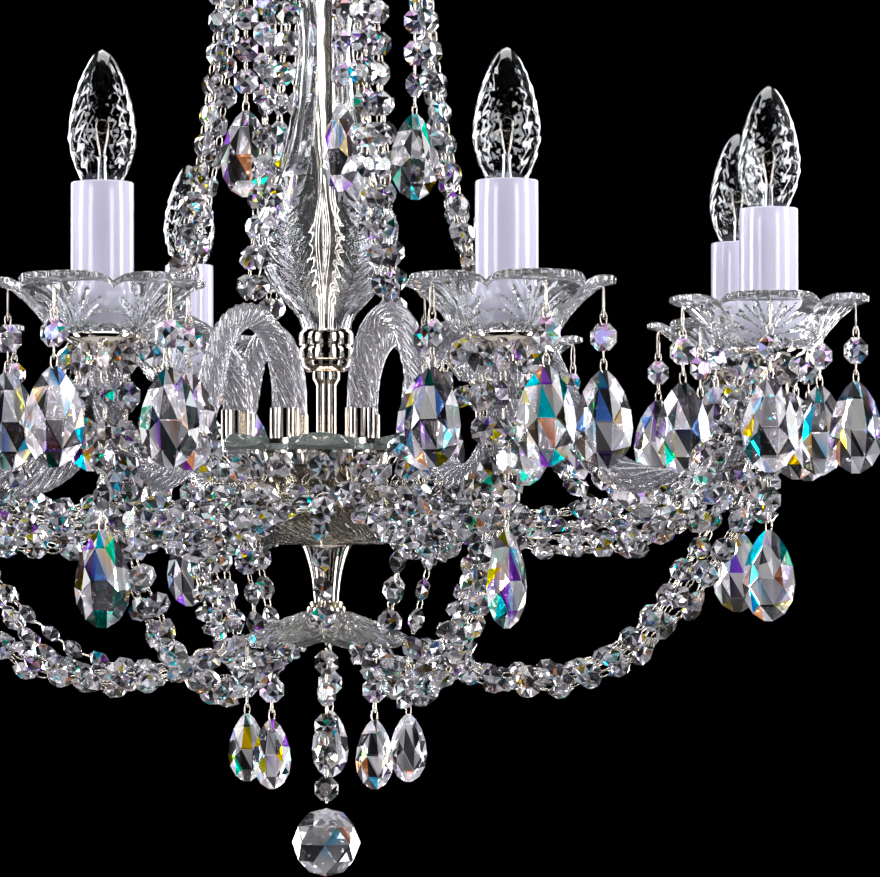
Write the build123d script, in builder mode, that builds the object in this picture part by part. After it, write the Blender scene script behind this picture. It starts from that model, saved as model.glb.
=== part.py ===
"""An eight-light crystal chandelier: nickel column, glass dishes, glass arms and strands of octagons.

Millimetres, +Z up, origin at the centre of the hanging eye's hole. A viewer stands on the -Y side.
Heights named ..._h are measured from the top of the hub plate, which carries the arms.
"""
import os
from math import asin, atan2, cos, degrees, hypot, radians, sin, sqrt

from build123d import *

# ---------------------------------------------------------------- overall layout
arm_count = 8
first_arm = 22.5  # azimuth of arm 1, degrees from +X
hub_drop = 385.0  # eye centre down to the top of the hub plate
ferrule_ring = 56.0  # radius of the circle of ferrules on the hub plate
candle_ring = 268.0  # radius of the circle of candles
dish_lobes = 5
first_lobe = 90.0  # azimuth of the first lobe of the lower dish
crown_lobe = 281.5  # and of the crown dish

# ---------------------------------------------------------------- fits and clearances
bore_gap = 0.3  # round a tube or pin in its bore
seat_gap = 0.2  # between a hanging crystal and what it hangs from
link_gap = 0.4  # between two crystals of a strand
cap_gap = 0.3  # round a bulb's cap in its lamp holder

# ---------------------------------------------------------------- centre column
tube_r = 4.0
stem_r = 5.8
stem_h = 33.0
collar_r = 8.0
collar_height = 7.0
seat_r = 15.0
seat_height = 25.0
seat_groove = 2.0
vase_foot_r = 14.0
vase_belly_r = 45.0
vase_waist_r = 17.0
vase_mouth_r = 30.0
vase_belly_rise = 55.0
vase_waist_rise = 162.0
vase_height = 225.0
vase_wall = 3.5
vase_cap_height = 17.0
vase_cap_lip = 3.0
cap_neck_r = 7.0
cap_neck_height = 11.0
crown_cap_r = 18.0
crown_cap_height = 22.0
eye_r = 6.0  # hole of the hanging eye
eye_rim = 7.0
eye_width = 8.0
shank_r = 6.0

# ---------------------------------------------------------------- hub and lower column
plate_r = 64.0
plate_thick = 3.0
ferrule_height = 17.0
ferrule_wall = 1.2
ferrule_floor = 2.0
wire_hole_r = 3.0
hub_dish_r = 72.0
hub_dish_lip = 6.0
hub_dish_thick = 3.5
cup_r = 43.0
cup_floor_r = 30.0
cup_depth = 27.0
cup_wall = 1.2
bowl_mouth_r = 48.0
bowl_belly_r = 56.0
bowl_belly_drop = 34.0
bowl_floor_r = 38.0
bowl_depth = 54.0
bowl_wall = 3.5
block_size = (26.0, 12.0, 14.0)
block_offset = 18.0
trumpet_r = 15.0
trumpet_neck_r = 7.5
trumpet_height = 39.0
lower_dish_crown_r = 13.0
lower_dish_drop = 17.0
nut_r = 9.0
nut_height = 12.0
loop_r = 1.6  # hole that the ball's chain hangs from
loop_rim = 1.6

# ---------------------------------------------------------------- lobed glass dishes
dish_r = 55.0  # reach of a lobe
lobe_share = 0.51  # radius of a lobe as a share of the dish radius
dish_foot_r = 26.0
dish_depth = 23.0
dish_lip_r = 46.0  # where the wall turns out into the lip
dish_lip_slope = 0.21
dish_thick = 3.5
crown_dish_r = 64.0
lower_dish_r = 56.0

# ---------------------------------------------------------------- arms and candles
arm_r = 6.9  # across the ribs
arm_ribs = 6
arch_radius = 44.0
arch_h = 67.0  # centreline at the top of the arch
bend_radius = 58.0
bend_h = -25.0  # centreline at the lowest point
arm_end_rise = 6.0  # straight end above the bend
socket_depth = 8.0
socket_wall = 1.8
pan_r = 20.0
pan_height = 8.0
pan_edge = 2.0
nipple_r = 5.0
sleeve_r = 16.0
sleeve_wall = 2.0
sleeve_length = 73.5
holder_r = 11.5
holder_length = 66.5
bulb_cap_r = 6.8
bulb_cap_length = 24.5
bulb_r = 17.5
bulb_neck_r = 9.5
bulb_belly_rise = 49.5
bulb_length = 99.5
bulb_travel = 34.0

# ---------------------------------------------------------------- crystals
octagon_width = 14.0
octagon_thick = 7.0
octagon_pitch = 18.5
pear_width = 30.0
pear_length = 57.0  # with its wire ring
pear_thick = 12.0
small_pear_width = 24.0
small_pear_length = 51.0
wire_width = 1.2
pin_inset = 6.0  # from the tip of a lobe in to its pin
strand_inset = 3.0  # from a rim in to the strand on it
swing_gap = 0.8  # over a crystal that swings
bobeche_drop_hook = 16.0
arm_drop_hook = 14.0
arm_drop_count = 2
crown_drop_hook = 15.0
crown_drop_count = 7
lower_drop_hook = 16.0
top_garland_turn_h = 170.0
ring_garland_sag = 83.0
arm_garland_angle = -45.0  # where it leaves the arm, round the centre of the bend
arm_garland_turn_h = -115.0
swag_turn_h = -205.0
ball_r = 20.0
ball_neck = 0.1  # height of its wire ring as a share of its radius
ball_chain_count = 5

# ---------------------------------------------------------------- heights worked out from those
hub_z = -hub_drop
stem_z = hub_z + stem_h
seat_z = stem_z + collar_height
vase_z = seat_z + seat_height
vase_top_z = vase_z + vase_height
crown_z = vase_top_z + vase_cap_height + cap_neck_height
crown_floor_z = crown_z + dish_thick
shank_z = crown_floor_z + crown_cap_height
plate_z = hub_z - plate_thick
hub_dish_z = plate_z - hub_dish_thick
bowl_z = hub_dish_z - bowl_depth
trumpet_z = bowl_z - trumpet_height
lower_floor_z = trumpet_z - dish_thick
lower_rim_z = lower_floor_z - lower_dish_drop
nut_z = lower_floor_z - nut_height
loop_z = nut_z - loop_r
candle_z = hub_z + bend_h + bend_radius + arm_end_rise
pan_z = candle_z + pan_height
candle_floor_z = pan_z + dish_thick
bulb_z = candle_floor_z + holder_length - bulb_cap_length
tube_bore_r = tube_r + bore_gap

os.makedirs("parts", exist_ok=True)


def save(piece, name):
    piece.part.label = name
    export_step(piece.part, f"parts/{name}.step")


def turned(outline):
    """Close the outline of a turned piece on the XZ plane and revolve it round Z."""
    with BuildPart() as piece:
        with BuildSketch(Plane.XZ):
            with BuildLine():
                Polyline(*outline, close=True)
            make_face()
        revolve(axis=Axis.Z)
    return piece


def lobe_sizes(reach):
    """Radius of a dish's lobes, and how far their centres stand from the axis."""
    radius = reach * lobe_share
    return radius, reach - radius


def rim_radius(reach, offset):
    """Radius of a lobed rim at an angle, in degrees, from the middle of its nearest lobe."""
    radius, centre = lobe_sizes(reach)
    return centre * cos(radians(offset)) + sqrt(radius**2 - (centre * sin(radians(offset))) ** 2)


def from_lobe(azimuth, start):
    """Angle between an azimuth and the nearest lobe of a dish whose first lobe is at start."""
    share = 360 / dish_lobes
    return abs((azimuth - start + share / 2) % share - share / 2)


def lobed_cut(reach, count, start):
    """Keep of the part being built only what lies inside the scalloped outline."""
    radius, centre = lobe_sizes(reach)
    with BuildSketch() as outline:
        with PolarLocations(centre, count, start_angle=start):
            Circle(radius)
        Circle(centre)
    extrude(outline.sketch, amount=2 * hub_drop, both=True, mode=Mode.INTERSECT)


def lobed_dish(reach, bore_r, start):
    """A dish standing on z=0: flat floor, rising wall and a scalloped lip."""
    lip_end = reach + dish_thick
    lip_end_z = dish_depth + dish_lip_slope * (lip_end - dish_lip_r)
    with BuildPart() as dish:
        add(
            turned([
                (bore_r, 0),
                (dish_foot_r, 0),
                (dish_lip_r, dish_depth),
                (lip_end, lip_end_z),
                (lip_end, lip_end_z + dish_thick),
                (dish_lip_r - dish_thick / 2, dish_depth + dish_thick),
                (dish_foot_r - dish_thick / 2, dish_thick),
                (bore_r, dish_thick),
            ]).part
        )
        lobed_cut(reach, dish_lobes, start)
    return dish


def lip_underside(radius):
    """Height of a dish lip's underside above the dish's foot."""
    return dish_depth + dish_lip_slope * (radius - dish_lip_r)


def octagon(length):
    """A cut octagon with its two wire eyes, centred, strung along Z, its faces towards +Y and -Y."""
    side = octagon_width / 2
    shoulder = length * 0.22
    with BuildPart() as crystal:
        with BuildSketch(Plane.XZ) as outline:
            Polygon(
                (0, length / 2),
                (side, shoulder),
                (side, -shoulder),
                (0, -length / 2),
                (-side, -shoulder),
                (-side, shoulder),
                align=None,
            )
        loft([Vertex(0, octagon_thick / 2, 0), outline.sketch], ruled=True)
        loft([outline.sketch, Vertex(0, -octagon_thick / 2, 0)], ruled=True)
    return crystal


def pear(width, length, thick):
    """A cut pear drop hanging down from z=0, its faces towards +Y and -Y."""

    def girdle(height, share):
        x, y = width * share / 2, thick * share / 2
        with BuildSketch(Plane.XY.offset(height)) as section:
            Polygon((x, 0), (x / 2, y), (-x / 2, y), (-x, 0), (-x / 2, -y), (x / 2, -y), align=None)
        return section.sketch

    with BuildPart() as drop:
        upper = girdle(-0.46 * length, 0.68)
        lower = girdle(-0.74 * length, 1.0)
        loft([Vertex(0, 0, 0), upper, lower, Vertex(0, 0, -length)], ruled=True)
    return drop


def pendant(hook_length, octagon_count, pear_piece, gap=seat_gap):
    """A wire, octagons and a pear, hanging from z=0."""
    crystal = octagon(octagon_pitch - link_gap)
    first_z = -gap - hook_length - octagon_pitch / 2
    with BuildPart() as hanging:
        with Locations((0, 0, -gap - hook_length / 2)):
            Box(wire_width, wire_width, hook_length)
        with Locations(*[(0, 0, first_z - octagon_pitch * n) for n in range(octagon_count)]):
            add(crystal.part)
        with Locations((0, 0, first_z - octagon_pitch * (octagon_count - 0.5) - link_gap / 2)):
            add(pear_piece.part)
    return hanging


def hang_strand(start, control, end, faces_aside=False):
    """Octagons nose to tail along a parabola, added to the part being built.

    Their faces look along the parabola's own plane, or square to it with faces_aside.
    """
    route = Edge.make_bezier(start, control, end)
    count = round(route.length / octagon_pitch)
    crystal = octagon(route.length / count - link_gap)
    across = (Vector(*end) - Vector(*start)).cross(Vector(0, 0, 1)).normalized()
    frames = []
    for n in range(count):
        share = (n + 0.5) / count
        along = route.tangent_at(share)
        width_way = across.cross(along) if faces_aside else across
        frames.append(Plane(route.position_at(share), x_dir=width_way, z_dir=along))
    with Locations(*frames):
        add(crystal.part)


def polar(radius, azimuth, height):
    return (radius * cos(radians(azimuth)), radius * sin(radians(azimuth)), height)


arm_azimuths = [first_arm + 360 / arm_count * n for n in range(arm_count)]
lobe_azimuths = [first_lobe + 360 / dish_lobes * n for n in range(dish_lobes)]
candle_places = PolarLocations(candle_ring, arm_count, start_angle=first_arm).locations

# ---------------------------------------------------------------- centre column, top to bottom
with BuildPart() as hanging_eye:
    with BuildSketch(Plane.XZ.offset(-eye_width / 2)):
        Circle(eye_r + eye_rim)
    extrude(amount=eye_width)
    with BuildSketch(Plane.XY.offset(shank_z)):
        Circle(shank_r)
    extrude(amount=-shank_z - eye_r - eye_rim / 2)
    with BuildSketch(Plane.XZ):
        Circle(eye_r)
    extrude(amount=eye_width * 2, both=True, mode=Mode.SUBTRACT)
    with BuildSketch(Plane.XY.offset(shank_z)):
        Circle(tube_bore_r)
    extrude(amount=shank_r, mode=Mode.SUBTRACT)
save(hanging_eye, "hanging_eye")

crown_cap = turned([
    (tube_bore_r, crown_floor_z),
    (crown_cap_r, crown_floor_z),
    (crown_cap_r, crown_floor_z + 0.2 * crown_cap_height),
    (shank_r + 3, crown_floor_z + 0.75 * crown_cap_height),
    (shank_r + 2, shank_z),
    (tube_bore_r, shank_z),
])
save(crown_cap, "crown_cap")

with BuildPart() as crown_dish:
    with Locations((0, 0, crown_z)):
        add(lobed_dish(crown_dish_r, tube_bore_r, crown_lobe).part)
save(crown_dish, "crown_dish")

vase_cap = turned([
    (tube_bore_r, vase_top_z),
    (vase_mouth_r + 1, vase_top_z),
    (vase_mouth_r + 1, vase_top_z + vase_cap_lip),
    (cap_neck_r + 6, vase_top_z + 0.6 * vase_cap_height),
    (cap_neck_r, vase_top_z + vase_cap_height),
    (cap_neck_r, crown_z),
    (tube_bore_r, crown_z),
])
save(vase_cap, "vase_cap")


vase_belly_z = vase_z + vase_belly_rise
vase_waist_z = vase_z + vase_waist_rise
with BuildPart() as column_vase:
    with BuildSketch(Plane.XZ):
        with BuildLine():
            ThreePointArc(
                (vase_foot_r, vase_z),
                ((vase_foot_r + vase_belly_r) / 2 + 3, vase_z + 0.42 * vase_belly_rise),
                (vase_belly_r, vase_belly_z),
            )
            ThreePointArc(
                (vase_belly_r, vase_belly_z),
                ((vase_waist_r + vase_belly_r) / 2 - 4, (vase_belly_z + vase_waist_z) / 2),
                (vase_waist_r, vase_waist_z),
            )
            ThreePointArc(
                (vase_waist_r, vase_waist_z),
                ((vase_waist_r + vase_mouth_r) / 2 - 3, (vase_waist_z + vase_top_z) / 2),
                (vase_mouth_r, vase_top_z),
            )
            Polyline(
                (vase_mouth_r, vase_top_z),
                (vase_mouth_r - vase_wall, vase_top_z),
                (vase_waist_r - vase_wall, vase_waist_z),
                ((vase_waist_r + vase_belly_r) / 2 - 4 - vase_wall, (vase_belly_z + vase_waist_z) / 2),
                (vase_belly_r - vase_wall, vase_belly_z),
                ((vase_foot_r + vase_belly_r) / 2 - vase_wall, vase_z + 0.42 * vase_belly_rise),
                (vase_foot_r - vase_wall, vase_z),
                (vase_foot_r, vase_z),
            )
        make_face()
    revolve(axis=Axis.Z)
save(column_vase, "column_vase")

vase_seat = turned([
    (tube_bore_r, seat_z),
    (seat_r - 3, seat_z),
    (seat_r, seat_z + 0.25 * seat_height),
    (seat_r, seat_z + 0.45 * seat_height),
    (seat_r - seat_groove, seat_z + 0.55 * seat_height),
    (seat_r, seat_z + 0.65 * seat_height),
    (seat_r + 1, vase_z),
    (tube_bore_r, vase_z),
])
save(vase_seat, "vase_seat")

stem_collar = turned([
    (tube_bore_r, stem_z),
    (stem_r + 0.5, stem_z),
    (collar_r, stem_z + 0.4 * collar_height),
    (collar_r, seat_z),
    (tube_bore_r, seat_z),
])
save(stem_collar, "stem_collar")

stem = turned([(tube_bore_r, hub_z), (stem_r, hub_z), (stem_r, stem_z), (tube_bore_r, stem_z)])
save(stem, "stem")

with BuildPart() as centre_tube:
    with BuildSketch(Plane.XY.offset(nut_z + nut_height / 2)):
        Circle(tube_r)
    extrude(amount=shank_z + shank_r - bore_gap - nut_z - nut_height / 2)
save(centre_tube, "centre_tube")

# ---------------------------------------------------------------- hub
with BuildPart() as hub_plate:
    with BuildSketch(Plane.XY.offset(plate_z)):
        Circle(plate_r)
        Circle(tube_bore_r, mode=Mode.SUBTRACT)
        with PolarLocations(ferrule_ring, arm_count, start_angle=first_arm):
            Circle(wire_hole_r, mode=Mode.SUBTRACT)
    extrude(amount=plate_thick)
save(hub_plate, "hub_plate")

ferrule = turned([
    (0, ferrule_floor),
    (arm_r + bore_gap, ferrule_floor),
    (arm_r + bore_gap, ferrule_height),
    (arm_r + bore_gap + ferrule_wall, ferrule_height),
    (arm_r + bore_gap + ferrule_wall, 0),
    (0, 0),
])
with BuildPart() as arm_ferrules:
    with Locations((0, 0, hub_z)):
        with PolarLocations(ferrule_ring, arm_count, start_angle=first_arm):
            add(ferrule.part)
save(arm_ferrules, "arm_ferrules")

with BuildPart() as hub_dish:
    add(
        turned([
            (tube_bore_r, hub_dish_z),
            (plate_r + 1, hub_dish_z),
            (hub_dish_r + 4, hub_dish_z + hub_dish_lip),
            (hub_dish_r + 4, hub_dish_z + hub_dish_lip + hub_dish_thick),
            (plate_r + 1, plate_z),
            (tube_bore_r, plate_z),
        ]).part
    )
    with BuildSketch():
        with PolarLocations(hub_dish_r * 0.7, arm_count, start_angle=0):
            Circle(hub_dish_r * 0.3)
        Circle(hub_dish_r * 0.88)
    extrude(amount=hub_dish_z - hub_dish_r, mode=Mode.INTERSECT)
save(hub_dish, "hub_dish")

hub_cup = turned([
    (tube_bore_r, hub_dish_z - cup_depth),
    (cup_floor_r, hub_dish_z - cup_depth),
    (cup_r - 4, hub_dish_z - cup_wall),
    (cup_r, hub_dish_z - cup_wall),
    (cup_r, hub_dish_z),
    (cup_r - 4 - cup_wall, hub_dish_z),
    (cup_floor_r - cup_wall, hub_dish_z - cup_depth + cup_wall),
    (tube_bore_r, hub_dish_z - cup_depth + cup_wall),
])
save(hub_cup, "hub_cup")

with BuildPart() as terminal_block:
    with Locations((0, block_offset, hub_dish_z - cup_depth + cup_wall + block_size[2] / 2)):
        Box(*block_size)
save(terminal_block, "terminal_block")


with BuildPart() as glass_bowl:
    with BuildSketch(Plane.XZ):
        with BuildLine():
            ThreePointArc(
                (bowl_mouth_r, hub_dish_z),
                (bowl_belly_r, hub_dish_z - bowl_belly_drop),
                (bowl_floor_r, bowl_z),
            )
            Polyline(
                (bowl_floor_r, bowl_z),
                (tube_bore_r, bowl_z),
                (tube_bore_r, bowl_z + bowl_wall),
                (bowl_floor_r - bowl_wall, bowl_z + bowl_wall),
                (bowl_belly_r - bowl_wall, hub_dish_z - bowl_belly_drop),
                (bowl_mouth_r - bowl_wall, hub_dish_z),
                (bowl_mouth_r, hub_dish_z),
            )
        make_face()
    revolve(axis=Axis.Z)
save(glass_bowl, "glass_bowl")

# ---------------------------------------------------------------- lower column
trumpet_foot_r = trumpet_neck_r + 4
with BuildPart() as trumpet:
    with BuildSketch(Plane.XZ):
        with BuildLine():
            Line((tube_bore_r, bowl_z), (trumpet_r, bowl_z))
            ThreePointArc(
                (trumpet_r, bowl_z),
                (trumpet_neck_r + 1.5, bowl_z - 0.45 * trumpet_height),
                (trumpet_neck_r, bowl_z - 0.85 * trumpet_height),
            )
            Polyline(
                (trumpet_neck_r, bowl_z - 0.85 * trumpet_height),
                (trumpet_foot_r, bowl_z - 0.9 * trumpet_height),
                (trumpet_foot_r, trumpet_z),
                (tube_bore_r, trumpet_z),
                (tube_bore_r, bowl_z),
            )
        make_face()
    revolve(axis=Axis.Z)
save(trumpet, "trumpet")

lower_slope = lower_dish_drop / (lower_dish_r - lower_dish_crown_r)
with BuildPart() as lower_dish:
    add(
        turned([
            (tube_bore_r, trumpet_z),
            (lower_dish_crown_r, trumpet_z),
            (lower_dish_r + dish_thick, lower_rim_z - lower_slope * dish_thick + dish_thick),
            (lower_dish_r + dish_thick, lower_rim_z - lower_slope * dish_thick),
            (lower_dish_crown_r, lower_floor_z),
            (tube_bore_r, lower_floor_z),
        ]).part
    )
    lobed_cut(lower_dish_r, dish_lobes, first_lobe)
save(lower_dish, "lower_dish")

with BuildPart() as bottom_nut:
    add(
        turned([
            (0, nut_z),
            (loop_r + loop_rim, nut_z),
            (nut_r, nut_z + 0.4 * nut_height),
            (nut_r, lower_floor_z),
            (tube_bore_r, lower_floor_z),
            (tube_bore_r, nut_z + nut_height / 2),
            (0, nut_z + nut_height / 2),
        ]).part
    )
    with BuildSketch(Plane.YZ.offset(-wire_width / 2)):
        with Locations((0, loop_z)):
            Circle(loop_r + loop_rim)
    extrude(amount=wire_width)
    with BuildSketch(Plane.YZ.offset(-wire_width)):
        with Locations((0, loop_z)):
            Circle(loop_r)
    extrude(amount=2 * wire_width, mode=Mode.SUBTRACT)
save(bottom_nut, "bottom_nut")

# ---------------------------------------------------------------- arms
arch_centre = (ferrule_ring + arch_radius, hub_z + arch_h - arch_radius)
bend_centre = (candle_ring - bend_radius, hub_z + bend_h + bend_radius)
centre_run = (bend_centre[0] - arch_centre[0], bend_centre[1] - arch_centre[1])
centre_span = hypot(*centre_run)
drop_angle = degrees(asin((arch_radius + bend_radius) / centre_span) - atan2(centre_run[1], centre_run[0]))
swing = 90 + drop_angle  # each bend of an arm turns through this angle


def on_circle(centre, radius, angle):
    return (centre[0] + radius * cos(radians(angle)), centre[1] + radius * sin(radians(angle)))


with BuildPart() as arm:
    with BuildLine(Plane.XZ) as centreline:
        Line((ferrule_ring, hub_z + ferrule_floor), (ferrule_ring, arch_centre[1]))
        CenterArc(arch_centre, arch_radius, 180, -swing)
        Line(
            on_circle(arch_centre, arch_radius, 180 - swing),
            on_circle(bend_centre, bend_radius, 360 - swing),
        )
        CenterArc(bend_centre, bend_radius, 360 - swing, swing)
        Line((candle_ring, bend_centre[1]), (candle_ring, candle_z))
    with BuildSketch(Plane.XY.offset(hub_z + ferrule_floor)):
        with Locations((ferrule_ring, 0)):
            RegularPolygon(arm_r, arm_ribs)
    sweep(path=centreline.wire())

for number, azimuth in enumerate(arm_azimuths, start=1):
    with BuildPart() as placed_arm:
        with Locations(Location((0, 0, 0), (0, 0, azimuth))):
            add(arm.part)
    save(placed_arm, f"arm_{number}")

# ---------------------------------------------------------------- candles
socket_r = arm_r + bore_gap + socket_wall
candle_cup = turned([
    (arm_r + bore_gap, candle_z - socket_depth),
    (socket_r, candle_z - socket_depth),
    (pan_r, pan_z - pan_edge),
    (pan_r, pan_z),
    (nipple_r, pan_z),
    (nipple_r, candle_floor_z),
    (0, candle_floor_z),
    (0, candle_z),
    (arm_r + bore_gap, candle_z),
])
lamp_holder = turned([
    (0, candle_floor_z),
    (holder_r, candle_floor_z),
    (holder_r, candle_floor_z + holder_length),
    (bulb_cap_r + cap_gap, candle_floor_z + holder_length),
    (bulb_cap_r + cap_gap, bulb_z - cap_gap),
    (0, bulb_z - cap_gap),
])
candle_sleeve = turned([
    (sleeve_r - sleeve_wall, candle_floor_z),
    (sleeve_r, candle_floor_z),
    (sleeve_r, candle_floor_z + sleeve_length),
    (sleeve_r - sleeve_wall, candle_floor_z + sleeve_length),
])
bobeche = lobed_dish(dish_r, nipple_r + bore_gap, 0)

glass_z = bulb_z + bulb_cap_length + cap_gap
belly_z = bulb_z + bulb_belly_rise
tip_z = bulb_z + bulb_length
bulb = turned([
    (0, bulb_z),
    (bulb_cap_r, bulb_z),
    (bulb_cap_r, glass_z),
    (bulb_neck_r, glass_z),
    (bulb_r, belly_z),
    (0.8 * bulb_r, (belly_z + tip_z) / 2),
    (0, tip_z),
])

for piece, name in ((candle_cup, "candle_cups"), (lamp_holder, "lamp_holders"), (candle_sleeve, "candle_sleeves")):
    with BuildPart() as group:
        with Locations(*candle_places):
            add(piece.part)
    save(group, name)

for number, place in enumerate(candle_places, start=1):
    with BuildPart() as placed_bobeche:
        with Locations(place * Location((0, 0, pan_z))):
            add(bobeche.part)
    save(placed_bobeche, f"bobeche_{number}")
    with BuildPart() as placed_bulb:
        with Locations(place):
            add(bulb.part)
    save(placed_bulb, f"bulb_{number}")

# ---------------------------------------------------------------- crystals that hang still
large_pear = pear(pear_width, pear_length, pear_thick)
small_pear = pear(small_pear_width, small_pear_length, pear_thick)
bobeche_drop_ring = dish_r - pin_inset
crown_drop_ring = crown_dish_r - 2 * pin_inset
arm_underside_z = bend_centre[1] - sqrt((bend_radius + arm_r) ** 2 - bend_radius**2) - wire_width
arm_octagon_z = arm_underside_z - seat_gap - arm_drop_hook - octagon_pitch / 2

bobeche_drop = pendant(bobeche_drop_hook, 1, large_pear)
with BuildPart() as bobeche_drops:
    for place in candle_places:
        with Locations(place * Location((0, 0, pan_z + lip_underside(bobeche_drop_ring)))):
            with PolarLocations(bobeche_drop_ring, dish_lobes):
                with Locations(Rotation(0, 0, 90)):
                    add(bobeche_drop.part)
save(bobeche_drops, "bobeche_drops")

arm_drop = pendant(arm_drop_hook, arm_drop_count, large_pear)
with BuildPart() as arm_drops:
    with Locations((0, 0, arm_underside_z)):
        with PolarLocations(candle_ring, arm_count, start_angle=first_arm):
            with Locations(Rotation(0, 0, 90)):
                add(arm_drop.part)
save(arm_drops, "arm_drops")

crown_drop = pendant(crown_drop_hook, crown_drop_count, large_pear)
with BuildPart() as crown_drops:
    with Locations((0, 0, crown_z + lip_underside(crown_drop_ring))):
        with PolarLocations(crown_drop_ring, dish_lobes, start_angle=crown_lobe):
            with Locations(Rotation(0, 0, 90)):
                add(crown_drop.part)
save(crown_drops, "crown_drops")

with BuildPart() as top_garlands:
    for azimuth in arm_azimuths:
        rim = rim_radius(crown_dish_r, from_lobe(azimuth, crown_lobe)) - strand_inset
        hang_strand(
            polar(rim, azimuth, crown_z + lip_underside(rim) - seat_gap),
            polar(ferrule_ring + 0.2 * arch_radius, azimuth, hub_z + top_garland_turn_h),
            polar(arch_centre[0], azimuth, hub_z + arch_h + arm_r + link_gap),
        )
save(top_garlands, "top_garlands")

with BuildPart() as ring_garlands:
    for azimuth in arm_azimuths:
        start = Vector(*polar(candle_ring, azimuth, pan_z - pan_edge - seat_gap))
        end = Vector(*polar(candle_ring, azimuth + 360 / arm_count, pan_z - pan_edge - seat_gap))
        step = (end - start).normalized() * (pan_r + 2 * seat_gap)
        control = (start + end) / 2 - Vector(0, 0, 2 * ring_garland_sag)
        hang_strand(tuple(start + step), tuple(control), tuple(end - step), faces_aside=True)
save(ring_garlands, "ring_garlands")

arm_foot = on_circle(bend_centre, bend_radius + arm_r + link_gap, arm_garland_angle)
with BuildPart() as arm_garlands:
    for azimuth in arm_azimuths:
        hang_strand(
            polar(arm_foot[0], azimuth, arm_foot[1]),
            polar(bend_centre[0], azimuth, hub_z + arm_garland_turn_h),
            polar(bowl_belly_r + link_gap, azimuth, hub_dish_z - bowl_belly_drop),
        )
save(arm_garlands, "arm_garlands")

with BuildPart() as swag_garlands:
    for azimuth in arm_azimuths:
        rim = rim_radius(lower_dish_r, from_lobe(azimuth, first_lobe)) + link_gap
        hang_strand(
            polar(candle_ring - octagon_thick / 2 - link_gap, azimuth, arm_octagon_z),
            polar(0.7 * candle_ring, azimuth, hub_z + swag_turn_h),
            polar(rim, azimuth, trumpet_z - lower_slope * (rim - lower_dish_crown_r) - dish_thick / 2),
        )
save(swag_garlands, "swag_garlands")

with BuildPart() as basket_chains:
    for azimuth in [360 / arm_count * n for n in range(arm_count)]:
        rim = rim_radius(lower_dish_r, from_lobe(azimuth, first_lobe)) - strand_inset
        rim_z = trumpet_z - lower_slope * (rim - lower_dish_crown_r) + 1.5 * link_gap
        hang_strand(
            polar(plate_r + 1, azimuth, hub_dish_z - seat_gap),
            polar(plate_r + 1, azimuth, (hub_dish_z + rim_z) / 2),
            polar(rim, azimuth, rim_z),
        )
save(basket_chains, "basket_chains")

# ---------------------------------------------------------------- crystals that swing
lower_drop_ring = lower_dish_r - pin_inset
lower_drop_z = lower_floor_z - lower_slope * (lower_drop_ring - lower_dish_crown_r)
lower_drop = pendant(lower_drop_hook, 1, small_pear, swing_gap)
lower_drop_places = PolarLocations(lower_drop_ring, dish_lobes, start_angle=first_lobe).locations
for number, place in enumerate(lower_drop_places, start=1):
    with BuildPart() as placed_drop:
        with Locations(place * Location((0, 0, lower_drop_z), (0, 0, 90))):
            add(lower_drop.part)
    save(placed_drop, f"lower_drop_{number}")

chain_top_z = loop_z - loop_r - loop_rim - link_gap
ball_top_z = chain_top_z - ball_chain_count * octagon_pitch
with BuildPart() as ball_chain:
    link = octagon(octagon_pitch - link_gap)
    with Locations(*[(0, 0, chain_top_z - octagon_pitch * (n + 0.5)) for n in range(ball_chain_count)]):
        add(link.part)
save(ball_chain, "ball_chain")

with BuildPart() as crystal_ball:
    girdles = []
    for share, rise in ((0.72, 0.66), (1.0, 0.1), (0.78, -0.6)):
        with BuildSketch(Plane.XY.offset(ball_top_z + ball_r * (rise - ball_neck - 1))) as girdle:
            RegularPolygon(ball_r * share, 8)
        girdles.append(girdle.sketch)
    top = Vertex(0, 0, ball_top_z - link_gap)
    bottom = Vertex(0, 0, ball_top_z - ball_r * (2 + ball_neck))
    loft([top, *girdles, bottom], ruled=True)
save(crystal_ball, "crystal_ball")

print("bulb joint travel", bulb_travel)
print("lower drop pivots", [tuple(round(v, 2) for v in place.position + Vector(0, 0, lower_drop_z - swing_gap)) for place in lower_drop_places])
print("chain pivot", round(loop_z, 2), "ball pivot", round(ball_top_z, 2))
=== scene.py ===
"""Dresses the eight-light crystal chandelier: glass, crystal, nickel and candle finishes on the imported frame."""

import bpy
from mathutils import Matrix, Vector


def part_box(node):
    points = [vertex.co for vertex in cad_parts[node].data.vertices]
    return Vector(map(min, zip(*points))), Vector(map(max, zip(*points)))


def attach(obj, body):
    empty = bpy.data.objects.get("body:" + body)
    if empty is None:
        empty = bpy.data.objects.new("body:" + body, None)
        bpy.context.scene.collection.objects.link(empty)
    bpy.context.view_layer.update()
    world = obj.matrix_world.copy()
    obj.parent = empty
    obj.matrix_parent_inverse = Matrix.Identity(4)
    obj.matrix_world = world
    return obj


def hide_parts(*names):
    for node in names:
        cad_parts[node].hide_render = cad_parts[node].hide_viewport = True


bl_info = {
    "name": "Crystal Chandelier",
    "version": (1, 0, 0),
    "blender": (4, 5, 0),
    "location": "3D View > Sidebar > Chandelier",
    "description": "Builds the glass, crystal and nickel pieces of an eight-light chandelier round its frame",
    "category": "Add Mesh",
}

import bmesh
import bpy
import numpy as np
from bpy.props import FloatProperty, FloatVectorProperty, IntProperty, PointerProperty
from mathutils import Vector

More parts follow.
